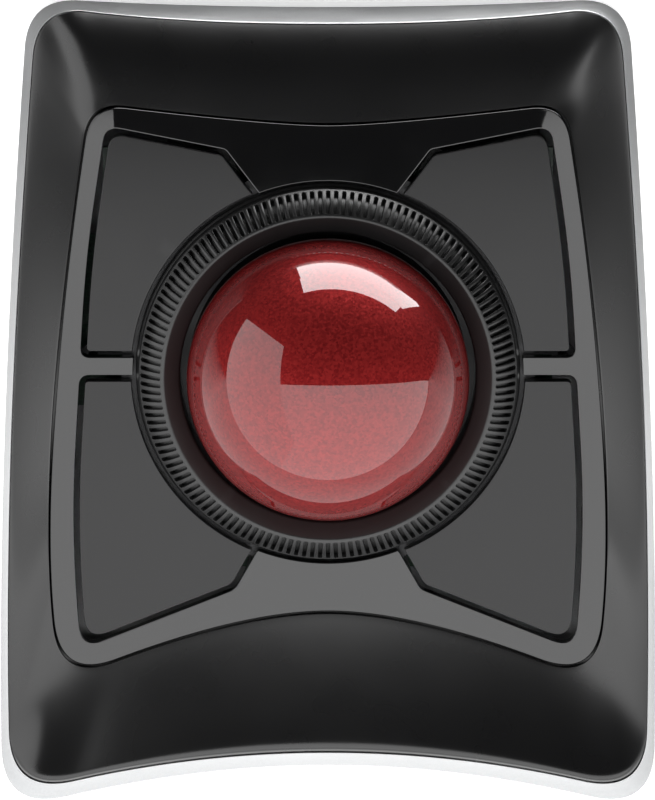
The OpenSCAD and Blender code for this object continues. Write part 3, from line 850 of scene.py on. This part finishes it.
def painted(name, colour, rough):
    """Silver-grey paint: fine flakes under a satin coat."""
    mat, tree, shader, coords = material(name)
    flakes = add(tree, "TexVoronoi", Vector=coords, Scale=1 / (0.12 * MM)).outputs["Color"]
    tone = add(tree, "SeparateColor", Color=flakes).outputs[0]
    dark, light = tuple(c * 0.9 for c in colour), tuple(min(1, c * 1.08) for c in colour)
    finish(
        tree, shader, Base_Color=shade(tree, tone, dark, light), Metallic=0.35,
        Roughness=spread(tree, noise(tree, coords, 12), rough - 0.04, rough + 0.05),
        Normal=bump(tree, noise(tree, coords, 0.25), 0.003), Coat_Weight=0.2, Coat_Roughness=0.25,
    )
    return mat


def resin():
    """The ball: deep red with fine bright flakes under a clear polished coat."""
    mat, tree, shader, coords = material("ball_resin")
    cells = add(tree, "TexVoronoi", Vector=coords, Scale=1 / (0.42 * MM)).outputs["Color"]
    parts = add(tree, "SeparateColor", Color=cells)
    tilt = add(tree, "Mapping", Vector=cells, Location=(-0.5, -0.5, -0.5)).outputs[0]
    small = add(tree, "VectorMath")
    small.operation = "SCALE"
    tree.links.new(tilt, small.inputs[0])
    small.inputs["Scale"].default_value = 0.1
    turned = add(tree, "VectorMath")
    turned.operation = "ADD"
    tree.links.new(small.outputs[0], turned.inputs[0])
    tree.links.new(add(tree, "NewGeometry").outputs["Normal"], turned.inputs[1])
    tone = spread(tree, parts.outputs[0], 0, 1, 0.0, 1.0)
    finish(
        tree, shader, Base_Color=shade(tree, tone, BALL_DARK, BALL_LIGHT), Metallic=BALL_FLAKE,
        Roughness=0.5, Normal=turned.outputs[0], Coat_Weight=1.0, Coat_Roughness=0.012, Coat_IOR=1.5,
        Specular_IOR_Level=0.0,
    )
    return mat


def metal(name, colour, rough):
    """Plated metal with fine brushing and a few dull spots."""
    mat, tree, shader, coords = material(name)
    brush = noise(tree, coords, 0.2, 2, (1, 0.05, 1))
    dull = tuple(c * 0.75 for c in colour)
    finish(
        tree, shader, Base_Color=shade(tree, noise(tree, coords, 4), colour, dull), Metallic=1.0,
        Roughness=spread(tree, brush, rough * 0.7, rough * 1.4), Normal=bump(tree, brush, 0.002),
    )
    return mat


def circuit_board(name):
    """Green solder mask over copper tracks that run square to one another."""
    mat, tree, shader, coords = material(name)
    sizes = {"Brick_Width": 3.4 * MM, "Row_Height": 1.2 * MM, "Mortar_Size": 0.12 * MM}
    tracks = add(tree, "TexBrick", Vector=coords, Scale=1.0, **sizes).outputs["Fac"]
    finish(
        tree, shader, Base_Color=shade(tree, tracks, (0.005, 0.04, 0.018), (0.012, 0.075, 0.03)),
        Roughness=spread(tree, noise(tree, coords, 3), 0.25, 0.4), Normal=bump(tree, tracks, 0.02),
    )
    return mat


def cell_wrap(name):
    """A battery cell: a dark printed sleeve with a copper band, and bare metal at its ends."""
    mat, tree, shader, coords = material(name)
    x = add(tree, "SeparateXYZ", Vector=coords).outputs[0]
    half = CELL_L / 2 * MM
    band = spread(tree, x, 0, 1, half * 0.34, half * 0.35)
    size = add(tree, "Math", Value=x)
    size.operation = "ABSOLUTE"
    bare = spread(tree, size.outputs[0], 0, 1, half * 0.93, half * 0.935)
    sleeve = shade(tree, band, (0.012, 0.013, 0.016), (0.45, 0.2, 0.08))
    finish(
        tree, shader, Base_Color=shade(tree, bare, sleeve, (0.62, 0.62, 0.64)),
        Metallic=spread(tree, bare, 0.4, 1.0, 0, 1), Normal=bump(tree, noise(tree, coords, 0.6), 0.002),
        Roughness=spread(tree, noise(tree, coords, 5), 0.22, 0.36),
    )
    return mat


def clear_lens(name):
    """Clear moulded plastic with a trace of haze."""
    mat, tree, shader, coords = material(name)
    finish(
        tree, shader, Base_Color=(0.93, 0.96, 0.98, 1), Transmission_Weight=1.0, IOR=1.49,
        Roughness=spread(tree, noise(tree, coords, 0.8), 0.01, 0.06),
        Normal=bump(tree, noise(tree, coords, 1), 0.0005),
    )
    return mat


CELL_L = 50.5
BALL_DARK = (0.10, 0.005, 0.006)
BALL_LIGHT = (0.17, 0.011, 0.011)
BALL_FLAKE = 0.45

FINISHES = {
    "shell_black": moulded("satin_shell", (0.0028, 0.0028, 0.003), 0.28, 0.3, 0.002, 0.015, specular=0.45),
    "gloss_black": polished("gloss_frame", (0.003, 0.003, 0.0032), 0.07, 0.52),
    "satin_black": moulded("satin_buttons", (0.005, 0.005, 0.0053), 0.3, 0.25, 0.002, 0.02, specular=0.27),
    "rim_silver": painted("silver_paint", (0.34, 0.345, 0.35), 0.42),
    "ring_black": moulded("satin_ring", (0.006, 0.006, 0.0062), 0.34, 0.2, 0.002, specular=0.42),
    # near-black, dull plastic for the faces deep in the ring's slots: painted shade
    "painted_slot_shade": moulded("painted_slot_shade_plastic", (0.0015, 0.0015, 0.0016), 0.6, 0.3, 0.006, specular=0.08),
    "dark_plastic": moulded("inner_plastic", (0.02, 0.02, 0.022), 0.5, 0.4, 0.008),
    "ball_red": resin(),
    "glide_white": moulded("glide_plastic", (0.75, 0.73, 0.66), 0.4, 0.5, 0.004, 0.05, 1.1),
    "steel": metal("plated_steel", (0.62, 0.62, 0.63), 0.28),
    "steel_black": metal("blackened_steel", (0.03, 0.03, 0.031), 0.4),
    "lens_clear": clear_lens("lens_plastic"),
    "chip_black": moulded("chip_epoxy", (0.012, 0.012, 0.012), 0.6, 0.15, 0.006),
    "board_green": circuit_board("circuit_board"),
    "cell_wrap": cell_wrap("cell_sleeve"),
    "brass": metal("plated_brass", (0.75, 0.56, 0.24), 0.3),
    "foot_rubber": moulded("foot_rubber", (0.02, 0.02, 0.021), 0.85, 0.5, 0.02),
    "plunger_red": moulded("plunger_plastic", (0.5, 0.02, 0.015), 0.45),
}


def dress(obj, slot):
    """Gives an object one material in place of all that it has."""
    obj.data.materials.clear()
    obj.data.materials.append(FINISHES[slot])


# ---------- build ----------

def fit(obj, body, node, slot):
    """A new piece takes a CAD node's place and finish."""
    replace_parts(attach(obj, body), node)
    dress(obj, slot)


for row in frame["record"]["subparts"]:
    dress(frame["nodes"][row["node"]], row["material_slot"])
# the screws that show in the gaps of the deck
dress(frame["nodes"]["head_screws"], "steel_black")

fit(top_shell(), "case", "top_shell", "shell_black")
base = base_shell()
fit(base, "case", "base_shell", "rim_silver")
base.data.materials.append(FINISHES["dark_plastic"])
fit(trim_frame(), "case", "trim_frame", "gloss_black")
fit(ball(), "ball", "ball", "ball_red")
ring = scroll_ring()
fit(ring, "scroll_ring", "scroll_ring", "ring_black")
# the second finish paints the shade deep in the slots
ring.data.materials.append(FINISHES["painted_slot_shade"])
for row, corners, cuts in (("upper", UPPER_BUTTON, UPPER_ROUND), ("lower", LOWER_BUTTON, LOWER_ROUND)):
    for side in ("left", "right"):
        name = f"button_{row}_{side}"
        fit(button("cap_" + name, corners, cuts, side == "left"), name, name, "satin_black")


# ---------- studio ----------

# Brightness of the light panels: in front, above and on the right, on the left, and behind
KEY_GLOW, LEFT_GLOW, REAR_GLOW = 3.3, 2.9, 11.0
# The big panels end, in metres, this far to the left, right, front and rear, and at this height
PANEL_LEFT, PANEL_RIGHT, PANEL_FRONT, PANEL_REAR, PANEL_TOP = -6, 20, -6, -0.255, 3
# The floor: how far it reaches in metres, the height of its top, and its brightness to the camera
FLOOR_FAR = 4.0
FLOOR_TOP = -0.05
FLOOR_GLOW = 0.45
# How bright the floor is in a reflection: in front, on the right and behind
FLOOR_SHEEN = (1.5, 1.3, 0.03)
# The camera looks straight down: its lens, and its place in metres
LENS = 509
CAMERA_AT = (-0.0001, 0, 2.2375)


def sheet(name, corners, mat):
    """A flat piece of the studio from corners in metres."""
    mesh = bpy.data.meshes.new(name)
    mesh.from_pydata(corners, [], [tuple(range(len(corners)))])
    mesh.materials.append(mat)
    obj = bpy.data.objects.new(name, mesh)
    bpy.context.scene.collection.objects.link(obj)
    return obj


def glow(name, strength):
    """Light from the front of a panel only."""
    mat = bpy.data.materials.new(name)
    mat.use_nodes = True
    tree = mat.node_tree
    tree.nodes.clear()
    light = add(tree, "Emission", Strength=strength)
    clear = add(tree, "BsdfTransparent")
    behind = add(tree, "NewGeometry").outputs["Backfacing"]
    add(tree, "OutputMaterial", Surface=choose(tree, behind, light.outputs[0], clear.outputs[0]))
    return mat


def panel(name, corners, strength, diffuse=True):
    """A light panel, in metres, that the camera itself doesn't see. It shines to the side from which its
    corners run anticlockwise, and only reflections see it if diffuse is off.
    """
    obj = sheet(name, corners, glow(name, strength))
    obj.visible_camera = False
    obj.visible_diffuse = diffuse


def sheen(tree, coords):
    """The floor's brightness in reflections, which falls off behind the object and on its right."""
    at = add(tree, "SeparateXYZ", Vector=coords).outputs
    front, right, rear = FLOOR_SHEEN
    side = spread(tree, at[0], front, right, 0.05, 0.12)
    back = add(tree, "MapRange", Value=at[1], From_Min=-0.02, From_Max=0.06, To_Max=rear)
    tree.links.new(side, back.inputs["To Min"])
    return add(tree, "Emission", Strength=back.outputs[0]).outputs[0]


def floor():
    """A pale floor. Reflections see it as an even glow, and from below it is clear."""
    z = FLOOR_TOP * MM
    mat, tree, shader, coords = material("floor_white")
    finish(
        tree, shader, Base_Color=shade(tree, noise(tree, coords, 40), (0.8, 0.8, 0.8), (0.82, 0.82, 0.82)),
        Roughness=0.7, Normal=bump(tree, noise(tree, coords, 1), 0.01),
        Emission_Color=(1, 1, 1, 1), Emission_Strength=FLOOR_GLOW,
    )
    reflected = add(tree, "LightPath").outputs["Is Glossy Ray"]
    above = choose(tree, reflected, shader.outputs[0], sheen(tree, coords))
    behind = add(tree, "NewGeometry").outputs["Backfacing"]
    below = add(tree, "BsdfTransparent").outputs[0]
    finish(tree, tree.nodes["Material Output"], Surface=choose(tree, behind, above, below))
    sheet("floor", [(-FLOOR_FAR, -FLOOR_FAR, z), (FLOOR_FAR, -FLOOR_FAR, z), (FLOOR_FAR, FLOOR_FAR, z),
                    (-FLOOR_FAR, FLOOR_FAR, z)], mat)


def world():
    """White to the camera and nearly dark to everything else."""
    scene = bpy.context.scene
    scene.world = bpy.data.worlds.new("studio")
    scene.world.use_nodes = True
    tree = scene.world.node_tree
    tree.nodes.clear()
    seen = add(tree, "LightPath").outputs["Is Camera Ray"]
    sky = add(tree, "Background", Color=(1, 1, 1, 1), Strength=spread(tree, seen, 0.025, 1.0, 0, 1))
    tree.links.new(sky.outputs[0], add(tree, "OutputWorld").inputs["Surface"])


floor()
world()
left, right, front, rear, top = PANEL_LEFT, PANEL_RIGHT, PANEL_FRONT, PANEL_REAR, PANEL_TOP
# over the front half, from just in front of the zenith
panel("panel_top", [(left, front, top), (left, rear, top), (right, rear, top), (right, front, top)], KEY_GLOW)
panel("panel_front", [(left, front, 0), (left, front, top), (right, front, top), (right, front, 0)], KEY_GLOW)
panel("panel_right", [(right, front, 0), (right, front, top), (right, rear, top), (right, rear, 0)], KEY_GLOW)
# nearer, on the left
panel("panel_left", [(-2.4, -4.5, 0), (-2.4, 1.8, 0), (-2.4, 1.8, top), (-2.4, -4.5, top)], LEFT_GLOW)
# low and bright behind, and lying on the floor in front of that
panel("panel_rear", [(-0.19, 0.68, 0), (1, 1, 0), (1, 1, 0.2), (-0.19, 0.68, 0.2)], REAR_GLOW, False)
low = 0.001
corners = [(-0.029, 0.104, low), (0.125, 0.104, low), (1, 0.95, low), (-0.18, 0.67, low)]
panel("panel_floor", corners, REAR_GLOW, False)

scene = bpy.context.scene
scene.view_settings.view_transform = "Standard"
cam = bpy.data.objects.new("camera", bpy.data.cameras.new("camera"))
scene.collection.objects.link(cam)
cam.data.lens = LENS
cam.location = CAMERA_AT
scene.camera = cam
